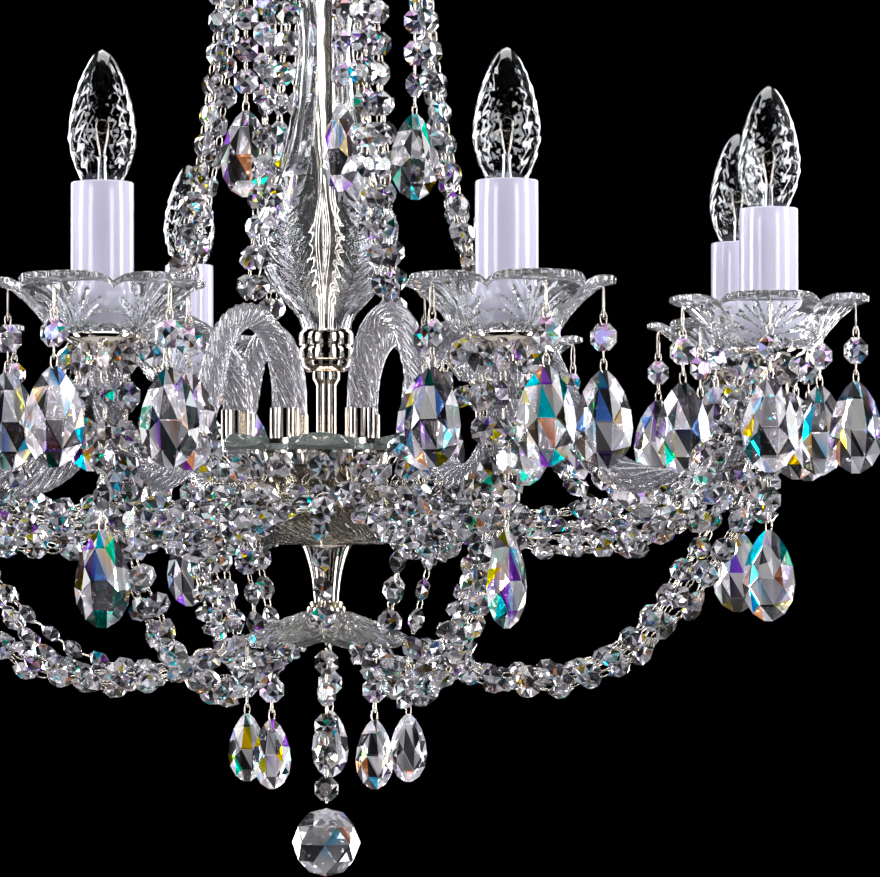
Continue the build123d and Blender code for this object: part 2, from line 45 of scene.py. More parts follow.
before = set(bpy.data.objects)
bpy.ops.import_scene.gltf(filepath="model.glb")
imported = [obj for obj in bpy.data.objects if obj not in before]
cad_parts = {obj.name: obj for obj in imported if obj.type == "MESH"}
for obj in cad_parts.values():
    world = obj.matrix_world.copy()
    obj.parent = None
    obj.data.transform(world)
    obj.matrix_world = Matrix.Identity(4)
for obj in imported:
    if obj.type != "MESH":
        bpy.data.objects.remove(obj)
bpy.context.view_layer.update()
MM = 0.001
TAU = 2 * np.pi
ARMS = range(1, 9)
EIGHTH = TAU / 8
LOBES = 5
LOBE_SHARE = 0.51  # radius of a lobe as a share of its dish
CROWN_LOBE = np.radians(281.5)  # azimuth of the crown dish's first lobe
LOWER_LOBE = np.pi / 2
RAYS = 7  # cuts of the sunburst in a lobe
RISEN = 0.845  # rim radius, as a share, where the lower dish's edge has risen 4 mm
DOUBLES = 2e-6  # points nearer than this are one, m

# where things hang: radius and height in mm, the height over the pan's foot for the drip pans
PAN_HOLES, CROWN_HOLES, LOWER_HOLES, ELBOWS = (49, 23.3), (52, -43), (50, -503.4), (268, -383.8)
CUP_RING, DISH_SLOPE = 268, 0.395  # radius of the ring of candle cups, mm; fall of the lower dish per mm outwards


# ---- places read from the frame
def low_z(node):
    """Height of the bottom of a CAD node's box, in millimetres."""
    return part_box(node)[0][2] / MM


def high_z(node):
    """Height of the top of a CAD node's box, in millimetres."""
    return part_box(node)[1][2] / MM


candles = [np.add(*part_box(f"bulb_{n}")) / 2 * (1, 1, 0) for n in ARMS]  # the bulbs' middles, brought down to z = 0
candle_azimuths = [float(np.arctan2(c[1], c[0])) for c in candles]
candle_ring = float(np.hypot(candles[0][0], candles[0][1])) / MM
hub_z = high_z("hub_plate")
pan_z = low_z("bobeche_1")


# ---- settings
def length(name, description, default):
    """A length setting, given in millimetres."""
    return FloatProperty(name=name, description=description, default=default * MM, subtype="DISTANCE")


def colour(name, description, default):
    """A colour setting: red, green and blue from 0 to 1."""
    return FloatVectorProperty(name=name, description=description, default=default, subtype="COLOR")


def number(name, description, default, **limits):
    """A setting that is a plain number, or metres with the subtype DISTANCE."""
    return FloatProperty(name=name, description=description, default=default, **limits)


class GlassSettings(bpy.types.PropertyGroup):
    arm_radius: length("Arm radius", "Over the strands of an arm", 7.5)
    strands: IntProperty(name="Strands", description="Strands twisted round an arm", default=10, min=3)
    relief: number("Relief", "Depth of the grooves, share of the arm's radius", 0.2)
    rope_pitch: length("Rope pitch", "Length of one full turn of the strands", 88)
    dish_radius: length("Drip pan radius", "Reach of a lobe", 55)
    lower_radius: length("Lower dish radius", "Reach of a lobe", 56)
    crown_radius: length("Crown dish radius", "Reach of a lobe", 64)
    glass: colour("Glass", "Pressed glass", (0.95, 0.96, 0.98))
    smoke: colour("Smoked glass", "Bowl", (0.52, 0.49, 0.41))
    hub: colour("Hub glass", "Hub dish", (0.62, 0.70, 0.68))


class CrystalSettings(bpy.types.PropertyGroup):
    octagon: length("Octagon", "Width of a strung octagon", 14)
    depth: length("Octagon depth", "Thickness of an octagon", 7)
    pitch: length("Pitch", "Spacing of octagons on a strand", 18.2)
    wire: length("Wire", "Radius of the link wire", 0.42)
    # share of facets that get painted spectral fire
    painted_fire: number("Painted Fire", "Share of facets that flash a colour", 0.1, min=0, max=1)
    seed: IntProperty(name="Seed", description="Seed of the crystals' turns and colours", default=7)


class FinishSettings(bpy.types.PropertyGroup):
    nickel: colour("Nickel", "Polished nickel plate", (0.82, 0.75, 0.66))
    sleeve: colour("Sleeve", "Opal candle sleeves", (0.70, 0.67, 0.86))
    floor: colour("Floor", "Studio floor", (0.62, 0.61, 0.60))


class StageSettings(bpy.types.PropertyGroup):
    distance: number("Distance", "Camera to column", 1.853, subtype="DISTANCE")
    azimuth: number("Azimuth", "Degrees from the -Y side towards +X", 2.63)
    height: number("Height", "Height of the level camera", -0.440, subtype="DISTANCE")
    focal: number("Focal length", "In pixels of an 880 pixel wide picture", 3170)
    column: number("Column", "Picture column of the chandelier's axis", 326.4)
    row: number("Row", "Picture row of the camera's height", 535)
    side: number("Side lights", "Power of each tall side light, W", 29)
    top: number("Top light", "Power of the overhead light, W", 20)
    rear: number("Rear lights", "Power of each rear light, W", 20)
    front: number("Front lights", "Power of each front light, W", 11)


SETTINGS = {
    "chandelier_glass": GlassSettings,
    "chandelier_crystal": CrystalSettings,
    "chandelier_finish": FinishSettings,
    "chandelier_stage": StageSettings,
}


# ---- mesh helpers
def grid_faces(rows, columns, loop_rows=False):
    """Quads of a grid of points numbered row by row; columns always close, rows close with loop_rows."""
    i, j = np.meshgrid(np.arange(rows if loop_rows else rows - 1), np.arange(columns), indexing="ij")
    below, beside = (i + 1) % rows, (j + 1) % columns
    corners = (i * columns + j, i * columns + beside, below * columns + beside, below * columns + j)
    return np.stack(corners, axis=-1).reshape(-1, 4)


def ring_of(count):
    """Azimuths at even steps round a full turn."""
    return np.linspace(0, TAU, count, endpoint=False)


def round_z(r, azimuth, z):
    """Points at radii, azimuths and heights."""
    return np.stack([r * np.cos(azimuth), r * np.sin(azimuth), z + 0 * azimuth], axis=-1)


def ramp(value, start, length):
    """0 up to the start, then rising to 1 over a length."""
    return np.clip((value - start) / length, 0, 1)


def put(name, shape, finish, slot, *nodes, body="frame", sharp=180, painted_fire=None):
    """A closed mesh piece of (points, faces): doubles merged, normals out, edges over the sharp angle kept crisp.

    Given painted facet colours, one for each corner (painted fire, painted highlights and painted shade), the facets
    stay flat and carry them as a colour attribute.
    """
    points, faces = shape
    mesh = bpy.data.meshes.new(name)
    mesh.from_pydata(points.reshape(-1, 3).tolist(), [], faces.tolist())
    if painted_fire is None:
        work = bmesh.new()
        work.from_mesh(mesh)
        bmesh.ops.remove_doubles(work, verts=work.verts, dist=DOUBLES)
        bmesh.ops.recalc_face_normals(work, faces=work.faces)
        work.to_mesh(mesh)
        work.free()
        mesh.shade_smooth()
        if sharp < 180:
            mesh.set_sharp_from_angle(angle=np.radians(sharp))
    else:
        layer = mesh.color_attributes.new("Painted Fire", "FLOAT_COLOR", "CORNER")
        layer.data.foreach_set("color", painted_fire.ravel())
        mesh.shade_flat()
    mesh.materials.append(FINISHES[finish])
    piece = bpy.data.objects.new(name, mesh)
    bpy.context.scene.collection.objects.link(piece)
    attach(piece, body)
    if nodes:
        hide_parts(*nodes)


def joined(parts):
    """Several (points, faces) pairs as one pair."""
    counts = np.cumsum([0] + [len(points.reshape(-1, 3)) for points, _ in parts])
    points = np.vstack([points.reshape(-1, 3) for points, _ in parts])
    return points, np.vstack([faces + count for (_, faces), count in zip(parts, counts)])


def turned(outline, around, reach=None, closed=True):
    """An (r, z) outline in mm turned round Z as (points, faces), where reach(r, z, angle) may give new (r, z).

    A closed outline also joins its last row to its first.
    """
    angle = ring_of(around)[None, :]
    r, z = (np.repeat(np.array(outline, dtype=float)[:, k : k + 1], around, axis=1) for k in (0, 1))
    if reach is not None:
        r, z = reach(r, z, angle)
    return round_z(r, angle, z) * MM, grid_faces(len(r), around, loop_rows=closed)


def about_z(points, azimuth, offset=(0, 0, 0)):
    """Points turned about Z by an azimuth, then moved by an offset."""
    c, s = np.cos(azimuth), np.sin(azimuth)
    return points @ np.array([[c, s, 0], [-s, c, 0], [0, 0, 1]]) + np.array(offset)


def even(outline, spacing):
    """An open outline with points added so that none are further apart than the spacing."""
    outline = np.array(outline, dtype=float)
    out = [outline[:1]]
    for start, end in zip(outline[:-1], outline[1:]):
        count = max(1, int(np.ceil(np.linalg.norm(end - start) / spacing)))
        out.append(start + (end - start) * np.linspace(0, 1, count + 1)[1:, None])
    return np.vstack(out)


def curved(outline, spacing, base=0):
    """A Catmull-Rom curve through an outline's points, their heights counted from a base, at about the spacing."""
    outline = np.array(outline, dtype=float) + (0, base)
    ends = np.vstack([2 * outline[0] - outline[1], outline, 2 * outline[-1] - outline[-2]])
    out = []
    for a, b, c, d in zip(ends[:-3], ends[1:-2], ends[2:-1], ends[3:]):
        t = np.linspace(0, 1, max(2, int(np.linalg.norm(c - b) / spacing)), endpoint=False)[:, None]
        out.append(0.5 * (2 * b + (c - a) * t + (2 * a - 5 * b + 4 * c - d) * t**2 + (3 * b - 3 * c + d - a) * t**3))
    return np.vstack(out + [outline[-1:]])


def run_of(route):
    """Distance from a line's start to each of its points, along it."""
    return np.concatenate([[0], np.cumsum(np.linalg.norm(np.diff(route, axis=0), axis=1))])


def points_at(at, run, route):
    """Points of a line at distances run along it."""
    return np.column_stack([np.interp(at, run, column) for column in route.T])


def off_lobe(angle, start, lobes=LOBES):
    """Angle from the middle of the nearest of equal lobes, the first one's middle at the azimuth start."""
    step = TAU / lobes
    return (angle - start + step / 2) % step - step / 2


def lobed(angle, start):
    """Rim radius, as a share of the lobe tips', of equal circles set round the axis."""
    offset, centre = off_lobe(angle, start), 1 - LOBE_SHARE
    return centre * np.cos(offset) + np.sqrt(np.maximum(LOBE_SHARE**2 - (centre * np.sin(offset)) ** 2, 0))


# ---- finishes
def new_material(name, tint=None, **sockets):
    """A material, its tree and its shader, with a base colour and the shader's sockets by name, _ for a space."""
    material = bpy.data.materials.new(name)
    material.use_nodes = True
    shader = material.node_tree.nodes["Principled BSDF"]
    if tint is not None:
        shader.inputs["Base Color"].default_value = (*tint, 1)
    for key, value in sockets.items():
        shader.inputs[key.replace("_", " ")].default_value = value
    return material, material.node_tree, shader


def node(tree, kind, inputs=None, **settings):
    """A node of a tree, with its settings and the values of its inputs."""
    made = tree.nodes.new(kind)
    for key, value in settings.items():
        setattr(made, key, value)
    for key, value in (inputs or {}).items():
        made.inputs[key].default_value = value
    return made


def link(tree, *runs):
    """Links of a node tree, each as (from node, its output, to node, its input)."""
    for source, output, target, given in runs:
        tree.links.new(source.outputs[output], target.inputs[given])


def effect(name, inputs, outputs, nodes, *runs):
    """A shader node group: float inputs {name: default}, outputs {name: type}, nodes {name: (kind, inputs)}.

    Each run is "node.output > node.input", where given and result are the group's own two ends.
    """
    tree = bpy.data.node_groups.new(name, "ShaderNodeTree")
    for label, default in inputs.items():
        tree.interface.new_socket(label, in_out="INPUT", socket_type="NodeSocketFloat").default_value = default
    for label, kind in outputs.items():
        tree.interface.new_socket(label, in_out="OUTPUT", socket_type=f"NodeSocket{kind}")
    made = {"given": tree.nodes.new("NodeGroupInput"), "result": tree.nodes.new("NodeGroupOutput")}
    for label, (kind, values) in nodes.items():
        made[label] = node(tree, f"ShaderNode{kind}", values)
    for run in runs:
        (source, output), (target, given) = (end.split(".") for end in run.split(" > "))
        link(tree, (made[source], output, made[target], given))


def ripple_effect():
    """Waves left in glass by its mould: noise put out as a normal."""
    effect(
        "Mould Ripple", {"Size": 90, "Strength": 0.15, "Distance": 0.0006}, {"Normal": "Vector"},
        {
            "where": ("TexCoord", {}),
            "noise": ("TexNoise", {"Detail": 1.5, "Roughness": 0.4, "Distortion": 0.6}),
            "bump": ("Bump", {}),
        },
        "where.Object > noise.Vector", "given.Size > noise.Scale", "noise.Fac > bump.Height",
        "given.Strength > bump.Strength", "given.Distance > bump.Distance", "bump.Normal > result.Normal",
    )


def handling_effect():
    """Polish and finger haze: roughness that drifts between two values, with fine streaks in the normal."""
    effect(
        "Handling Haze", {"Clean": 0.06, "Dull": 0.16, "Size": 60, "Streaks": 0.05},
        {"Roughness": "Float", "Normal": "Vector"},
        {
            "where": ("TexCoord", {}),
            "noise": ("TexNoise", {"Detail": 4, "Roughness": 0.6}),
            "blend": ("MapRange", {"From Min": 0.35, "From Max": 0.7}),
            "stretch": ("Mapping", {"Scale": (1, 1, 14)}),
            "streaks": ("TexNoise", {"Scale": 300, "Detail": 2}),
            "bump": ("Bump", {"Distance": 0.0002}),
        },
        "where.Object > noise.Vector", "given.Size > noise.Scale", "noise.Fac > blend.Value",
        "given.Clean > blend.To Min", "given.Dull > blend.To Max", "blend.Result > result.Roughness",
        "where.Object > stretch.Vector", "stretch.Vector > streaks.Vector", "streaks.Fac > bump.Height",
        "given.Streaks > bump.Strength", "bump.Normal > result.Normal",
    )


def placed(tree, group, **values):
    """A node group in a material, with its own values."""
    return node(tree, "ShaderNodeGroup", values, node_tree=bpy.data.node_groups[group])


def glass(name, tint, ior=1.52, roughness=0.02, ripple=None, clear=1):
    """Clear or tinted glass with mould ripples of the given strength; what isn't clear is milky."""
    material, tree, shader = new_material(name, tint, Transmission_Weight=clear, IOR=ior, Roughness=roughness)
    if ripple:
        waves = placed(tree, "Mould Ripple", Size=RIPPLE_SIZE, Strength=ripple)
        link(tree, (waves, "Normal", shader, "Normal"))
    return material


def crystal_finish(name, film, painted_glow):
    """Cut lead crystal: each facet's painted colour (painted fire, highlight and shade) tints it and also lights it as
    a painted glow, under a film of some nanometres.
    """
    material, tree, shader = new_material(
        name, Transmission_Weight=1, IOR=1.62, Roughness=0,
        Emission_Strength=painted_glow, Thin_Film_Thickness=film, Thin_Film_IOR=1.9,
    )
    painted_fire = node(tree, "ShaderNodeVertexColor", layer_name="Painted Fire")
    # the painted facet colours drive both the base colour and the emission: the crystal glows though it is no lamp
    link(tree, (painted_fire, "Color", shader, "Base Color"), (painted_fire, "Color", shader, "Emission Color"))
    return material


def hazed(name, tint, clean, dull, streaks=0.05, **sockets):
    """A finish whose roughness drifts between clean and dull, with fine streaks."""
    material, tree, shader = new_material(name, tint, **sockets)
    haze = placed(tree, "Handling Haze", Clean=clean, Dull=dull, Streaks=streaks)
    link(tree, (haze, "Roughness", shader, "Roughness"), (haze, "Normal", shader, "Normal"))
    return material


def metal(name, tint, clean, dull):
    """Plated or plain metal."""
    return hazed(name, tint, clean, dull, Metallic=1)


def enamel(name, tint, clean, dull, coat=0):
    """Opal glass, plastic or paint, with a clear coat where asked."""
    return hazed(name, tint, clean, dull, streaks=0.02, Coat_Weight=coat, Coat_Roughness=0.04)


FINISHES = {}
RIPPLE_SIZE = 60  # waves in a metre of glass


def make_finishes(scene):
    """Make the shader groups, then fill the table of finishes from the scene's settings."""
    ripple_effect()
    handling_effect()
    glasses, finishes = scene.chandelier_glass, scene.chandelier_finish
    tint, nickel = tuple(glasses.glass), tuple(finishes.nickel)
    FINISHES.update(
        arm=glass("Twisted Glass", (0.52, 0.51, 0.56), ior=1.75, roughness=0.06, clear=0.72),
        dish=glass("Pressed Glass", tint, roughness=0.02, ripple=0.15, clear=0.94),
        vase=glass("Vase Glass", tint, roughness=0.01, ripple=0.08, clear=0.98),
        smoke=glass("Smoked Glass", tuple(glasses.smoke), roughness=0.02, clear=0.97),
        hub=glass("Hub Glass", tuple(glasses.hub), roughness=0.05, ripple=0.15, clear=0.8),
        bulb=glass("Bulb Glass", (0.97, 0.98, 1), ior=1.47),
        # the crystal finishes glow with painted light: emission of strength 0.13 to 0.26 in each facet's painted
        # colour
        octagon=crystal_finish("Cut Crystal", 0, 0.13),
        fire_octagon=crystal_finish("Fire Octagon", 300, 0.2),
        pear=crystal_finish("Fire Crystal", 0, 0.26),
        nickel=metal("Polished Nickel", nickel, 0.04, 0.14),
        wire=metal("Nickel Wire", nickel, 0.10, 0.22),
        sleeve=enamel("Opal Sleeve", tuple(finishes.sleeve), 0.12, 0.2, coat=0.6),
        holder=enamel("Holder Plastic", (0.72, 0.71, 0.68), 0.35, 0.5),
        brass=metal("Lamp Cap Metal", (0.78, 0.70, 0.55), 0.2, 0.35),
        floor=enamel("Studio Floor", tuple(finishes.floor), 0.6, 0.8),
    )


# ---- glass arms, dishes and vase
ARCH, BEND = (100, -362, 44), (210, -352, 58)  # an arm's two arcs: middle (r, z) and radius, mm
SWING = np.radians(152.25)  # turn of both arcs
ROOT, TIP = (56, 2.2), -346.2  # an arm's foot: radius, and height over the hub plate; height of its end, mm


def arc(circle, angle):
    """Points (r, z) at angles on a circle given as middle (r, z) and radius."""
    r, z, radius = circle
    return np.column_stack([r + radius * np.cos(angle), z + radius * np.sin(angle)])


def arm_route(count):
    """Centre line of an arm as (r, z): riser, arch, straight run, bend and short riser, at even steps."""
    swing = np.linspace(0, SWING, 80)
    points = np.vstack([
        [(ROOT[0], hub_z + ROOT[1])], arc(ARCH, np.pi - swing), arc(BEND, TAU - swing[::-1]), [(candle_ring, TIP)],
    ]) * MM
    run = run_of(points)
    at = np.linspace(0, run[-1], count)
    return points_at(at, run, points), at


def rope_arm(settings, azimuth, rows=210, ribs=3, rib_depth=0.08):
    """A tube carried along the arm's route: n strands |cos(n(t - turn)/2)| with fine ribs on each."""
    route, run = arm_route(rows)
    along = np.gradient(route, axis=0)
    along /= np.linalg.norm(along, axis=1)[:, None]
    angle = ring_of(settings.strands * 12)[None, :]
    turn = (run / settings.rope_pitch * TAU)[:, None]
    ridge, rib = (np.abs(np.cos(settings.strands * n * (angle - turn) / 2)) for n in (1, ribs))
    radius = settings.arm_radius * (1 - settings.relief * (1 - ridge) - rib_depth * (1 - rib))
    radius[[0, -1]] = 0
    out, side = radius * np.cos(angle), radius * np.sin(angle)
    reach = route[:, :1] - out * along[:, 1:]
    points = np.stack([reach, side, route[:, 1:] + out * along[:, :1]], axis=-1)
    return about_z(points, azimuth), grid_faces(len(route), angle.shape[1])


def fan_cuts(r, offset, foot, span):
    """Depth, 0 to 1, of a sunburst of wedge cuts in each lobe: rays about a point at the lobe's foot."""
    u, v = r * np.sin(offset), r * np.cos(offset) - foot
    ray = np.maximum(0, 1 - 1.5 * np.abs(np.sin(RAYS * np.arctan2(u, v))))
    away = np.hypot(u, v)
    return ray * ramp(away, 2.5, 3) * ramp(span - away, 0, 5)


def pressed_pan(reach, width, start, spacing, span, deep):
    """A lobed pan: the outline of a width, turned, with r drawn in so the rim follows its lobes and dips between them.

    Each lobe's wall has a sunburst of cuts, and the rim is castellated by short blocks, as many a lobe as rays.
    """
    reach, lip, foot = reach / MM, 44, 27
    valley = lobed(np.array([start + TAU / LOBES / 2]), start)

    def shape(r, z, angle):
        share, wall = ramp(r, lip, reach - lip), ramp(r, foot, reach - foot)
        rim, offset = lobed(angle, start), off_lobe(angle, start)
        notch = (1 - rim) / (1 - valley)
        blocks = np.clip(np.sin(offset * LOBES * RAYS) * 3, -1, 1) * 0.5 * (share > 0.95)
        dip = wall**2 * notch**3 * 5
        return r * (1 - share * (1 - rim)) + blocks, z + deep * fan_cuts(r, offset, foot, span) - dip

    return turned(refined(dish_outline(width), spacing), 320, shape)


def dish_outline(reach):
    """Closed (r, z) loop of a pressed dish, its foot at z = 0: underside out, rim up, upper side back."""
    bore, foot, lip, depth, thick = 5.4, 26, 46, 23, 3.5
    near, far = foot + (lip - foot) * 0.35, foot + (lip - foot) * 0.7
    rim = depth + 0.21 * (reach - lip)
    return np.array([
        (bore, 0), (bore + 2, 0), (foot - 3, 0), (foot, 0), (foot + 1.5, 1.6), (near, depth * 0.42),
        (far, depth * 0.74), (lip, depth - 1.2), (lip + 3.5, depth + 0.3), (reach - 1, rim - 0.3), (reach, rim + 0.6),
        (reach, rim + thick - 0.7), (reach - 1, rim + thick), (lip + 3.5, depth + thick + 0.4),
        (lip - 2.5, depth + thick - 1), (far - 2.2, depth * 0.74 + thick * 0.6),
        (near - 2, depth * 0.42 + thick * 0.7), (foot - 2.5, thick + 0.3), (foot - 5, thick), (bore + 2, thick),
        (bore, thick),
    ])


def refined(loop, spacing):
    """A closed outline with points added so that none are further apart than the spacing."""
    return even(np.vstack([loop, loop[:1]]), spacing)[:-1]


def drip_pan(settings, azimuth):
    """A drip pan, its first lobe pointing outwards."""
    points, faces = pressed_pan(settings.dish_radius, 55, 0, 2.199, 20, 2.6)
    return about_z(points, azimuth, polar(candle_ring, azimuth, pan_z)), faces


def crown_pan(settings):
    """The crown dish: a larger pan, with its own lobes."""
    points, faces = pressed_pan(settings.crown_radius, 64, CROWN_LOBE, 2.4, 21, 2)
    return points + polar(0, 0, low_z("crown_dish")), faces


def lower_pan(settings):
    """The lower dish: a steep umbrella of five lobes with a fan of cuts a lobe, its edge raised between them."""
    top, reach, full = high_z("lower_dish"), settings.lower_radius / MM, 16
    edge = np.array([(-3, 0.4), (0, -0.8), (0, -3), (-2, -3.4)]) + (reach, top - 17)
    upper = np.array([(4.4, 0), (12, 0), (15, -0.6), (24, -4.2), (38, -9.2)]) + (0, top)
    under = np.array([(38, -13), (24, -8), (14, -3.9), (12, -3.5), (4.4, -3.5)]) + (0, top)

    def shape(r, z, angle):
        share = ramp(r, full, reach - full)
        rim = lobed(angle, LOWER_LOBE)
        cuts = fan_cuts(r, off_lobe(angle, LOWER_LOBE), 20, 30)
        notch = (1 - rim) / (1 - RISEN)
        return r * (1 - share * (1 - rim)), z - 1.6 * cuts + share * notch**2 * 4

    return turned(refined(np.vstack([upper, edge, under]), 2), 280, shape)


def hub_pan():
    """The hub dish: eight shallow lobes with a thick rounded rim that rises between the arms."""
    loop = np.array([
        (4.4, 0), (50, 0), (61, 0), (65.5, 0.3), (69.2, 2.2), (71.4, 4), (72, 5.4), (71.4, 7), (70, 7.6),
        (68.2, 6.8), (65, 3.8), (59, 3.4), (50, 3.4), (4.4, 3.4),
    ]) + (0, low_z("hub_dish"))
    lobe, valley = 0.3, 0.88  # a lobe's radius, and the least rim, as shares of the dish

    def shape(r, z, angle):
        share = ramp(r, 63, 9)
        offset = off_lobe(angle, 0, len(ARMS))
        out = (1 - lobe) * np.cos(offset) + np.sqrt(lobe**2 - ((1 - lobe) * np.sin(offset)) ** 2)
        wave = 2.4 * np.cos(offset * len(ARMS))
        return r * (1 - share * (1 - np.maximum(out, valley))), z + share * wave

    return turned(refined(loop, 2), 320, shape)


def bowl():
    """The smoked bowl: a wall between two curves, fluted outside by slanting ribs."""
    low, ribs = low_z("glass_bowl"), 26
    outer = curved([(51.5, 36), (54.5, 29), (56.2, 21), (53.5, 12), (46, 5), (34, 0), (16, 0), (4.6, 0)], 1.3, low)
    inner = curved(
        [(4.6, 3.5), (16, 3.5), (32, 3.5), (43, 8.5), (50, 14), (52.5, 21), (51, 29), (48.2, 36)], 2.5, low
    )
    loop = np.vstack([outer, inner])

    def shape(r, z, angle):
        wall = ramp(r, 8, 30) * (np.arange(len(loop))[:, None] < len(outer))
        twist = (z - low) * 0.014 + r * 0.012
        return r - wall * 1.7 * (1 - np.abs(np.sin((angle + twist) * ribs))), z

    return turned(loop, 16 * ribs, shape)


def vase():
    """The column vase: belly, waist and flared mouth, cut with tall leaves on the belly and flat flutes above.

    Six leaves are bells of height about the belly's middle, deepest between two leaves; barbs slant across them.
    """
    low, top = low_z("column_vase"), high_z("column_vase")
    mouth = top - low
    outer = curved([
        (14, 0), (17.5, 8), (32.5, 25), (41, 40), (45, 55), (42.5, 66), (35, 80), (27, 100), (20.5, 130), (17, 162),
        (18, 180), (22.5, 203), (30, mouth),
    ], 2, low)
    inner = curved([
        (26.5, mouth), (19, 203), (14.5, 180), (13.5, 162), (17, 130), (23.5, 100), (31, 80), (38, 66), (41, 55),
        (37, 40), (28, 25), (13.5, 8), (10.5, 0),
    ], 3.5, low)
    loop = np.vstack([outer, inner])

    def shape(r, z, angle):
        outside = np.arange(len(loop))[:, None] < len(outer)
        rise = z - low
        span = np.abs((angle * 6 / TAU) % 1 - 0.5) * 2
        leaf = np.exp(-(((rise - 48) / 24) ** 2)) * 3.6 * span
        barbs = np.maximum(0, 1 - 3.2 * np.abs((rise / 7 + span * 2.2) % 1 - 0.5))
        fan = np.exp(-(((rise - 42) / 26) ** 4)) * 1.5 * barbs * np.clip(span * 3 - 0.7, 0, 1)
        flute = ramp(rise, 75, 30) * 1.3 * (1 - np.abs(np.sin(angle * 5)))
        return r - outside * (leaf + fan + flute), z

    return turned(loop, 320, shape)


# ---- crystals and their wires
def outward(points, faces):
    """The same closed shape with its faces turned outwards: a positive sum of its tetrahedra's volumes."""
    a, b, c = points[faces[:, 0]], points[faces[:, 1]], points[faces[:, 2]]
    return points, faces if np.einsum("ij,ij->", a, np.cross(b, c)) > 0 else faces[:, ::-1]


def rows_of(corners):
    """Triangles from several sets of three arrays of point numbers."""
    return np.vstack([np.column_stack(three) for three in corners])


def both_sides(front, faces, edge):
    """A stone's front, which starts with its edge points, joined to its mirror image behind them."""
    back = front[edge:] * np.array([1, -1, 1])
    renumber = np.concatenate([np.arange(edge), np.arange(len(front), len(front) + len(back))])
    return outward(np.vstack([front, back]), np.vstack([faces, renumber[faces][:, ::-1]]))


def octagon_stone(width, depth, table=0.56):
    """An octagon cut on both sides: its edges' midpoints, drawn in to a share and raised, bound a flat table.

    The facets between the edge and the table are triangles.
    """
    angle = TAU / 16 + np.arange(8) * TAU / 8
    edge = np.column_stack([np.cos(angle), np.sin(angle)]) * width / 2 / np.cos(TAU / 16)
    centre = edge.mean(axis=0)
    ring = centre + ((edge + np.roll(edge, -1, axis=0)) / 2 - centre) * table
    raised = np.insert(np.vstack([ring, centre]), 1, -depth / 2, axis=1)
    i = np.arange(8)
    after = (i + 1) % 8
    corners = (i, after, 8 + i), (8 + i, after, 8 + after), (8 + i, 8 + after, 16 + 0 * i)
    return both_sides(np.vstack([np.insert(edge, 1, 0, axis=1), raised]), rows_of(corners), 8)


def pear_stone(width, height, depth):
    """A pear hanging from z = 0, cut on both sides.

    Its outline has sixteen points. Eight points on the bevel lie between pairs of them, drawn in to a share, and the
    large facets rise from these to a short level ridge at mid height.
    """
    drop = np.array([0, 0.08, 0.22, 0.40, 0.59, 0.77, 0.92, 1])
    half = np.array([0.12, 0.40, 0.70, 0.92, 1, 0.91, 0.60, 0.16]) * width / 2
    right = np.column_stack([half, -drop * height])
    outline = np.vstack([right, right[::-1] * np.array([-1, 1])])
    count, heart = len(outline), np.array([0, -0.52 * height])
    ring = heart + ((outline[::2] + outline[1::2]) / 2 - heart) * 0.68
    ridge = [[0.15 * width, -depth / 2, heart[1]], [-0.15 * width, -depth / 2, heart[1]]]
    front = np.vstack([np.insert(outline, 1, 0, axis=1), np.insert(ring, 1, -0.34 * depth, axis=1), ridge])
    k = np.arange(len(ring))
    first, second, third = 2 * k, 2 * k + 1, (2 * k + 2) % count
    inner, beside = count + k, count + (k + 1) % len(ring)
    band = (first, second, inner), (second, beside, inner), (second, third, beside)
    p, q = len(ring), len(ring) + 1  # the ridge's right and left ends
    large = np.array([
        (0, 1, p), (1, 2, p), (2, 3, p), (3, 4, q), (3, q, p), (4, 5, q), (5, 6, q), (6, 7, q), (7, 0, p), (7, p, q),
    ]) + count
    return both_sides(front, np.vstack([rows_of(band), large]), count)


def ball_stone(radius, around, rows):
    """A faceted ball: rings of points on a sphere, each turned half a step from the last, closed by two points."""
    rise = np.linspace(-1, 1, rows + 2)[1:-1] * np.pi / 2
    angle = (np.arange(around)[None] + 0.5 * (np.arange(rows) % 2)[:, None]) * TAU / around
    rings = round_z(np.cos(rise)[:, None], angle, np.sin(rise)[:, None]) * radius
    points = np.vstack([[[0, 0, -radius]], rings.reshape(-1, 3), [[0, 0, radius]]])
    i = np.arange(around)
    after, last = (i + 1) % around, len(points) - 1
    corners = [(0 * i, 1 + after, 1 + i)]
    for k in range(rows - 1):
        low, high = 1 + k * around, 1 + (k + 1) * around
        near, far = (after, i) if k % 2 else (i, after)
        corners += [(low + i, low + after, high + near), (high + i, low + far, high + after)]
    corners += [(last - around + i, last - around + after, 0 * i + last)]
    return outward(points, rows_of(corners))


def wire_loop(half_length, half_width, wire, around=12, sides=5):
    """An oval ring of wire in the xz plane: a circle carried round (w sin t, l cos t)."""
    t, s = ring_of(around)[:, None], ring_of(sides)[None, :]
    out = wire * np.cos(s)
    x, z = half_width * np.sin(t) + out * np.sin(t), half_length * np.cos(t) + out * np.cos(t)
    points = np.stack([x, wire * np.sin(s) + 0 * t, z], axis=-1).reshape(-1, 3)
    return points, grid_faces(around, sides, loop_rows=True)


def set_along(shape, places):
    """Copies of a shape on places (origin, z axis, x axis) as one pair of arrays."""
    points, faces = shape
    origin, along, across = (np.array(p, dtype=float) for p in zip(*places))
    x, y, z = points[None, :, :1], points[None, :, 1:2], points[None, :, 2:]
    facing = np.cross(along, across)[:, None]
    placed = origin[:, None] + (x * across[:, None] + y * facing + z * along[:, None])
    numbers = faces[None] + (np.arange(len(origin)) * len(points))[:, None, None]
    return placed.reshape(-1, 3), numbers.reshape(-1, faces.shape[1])


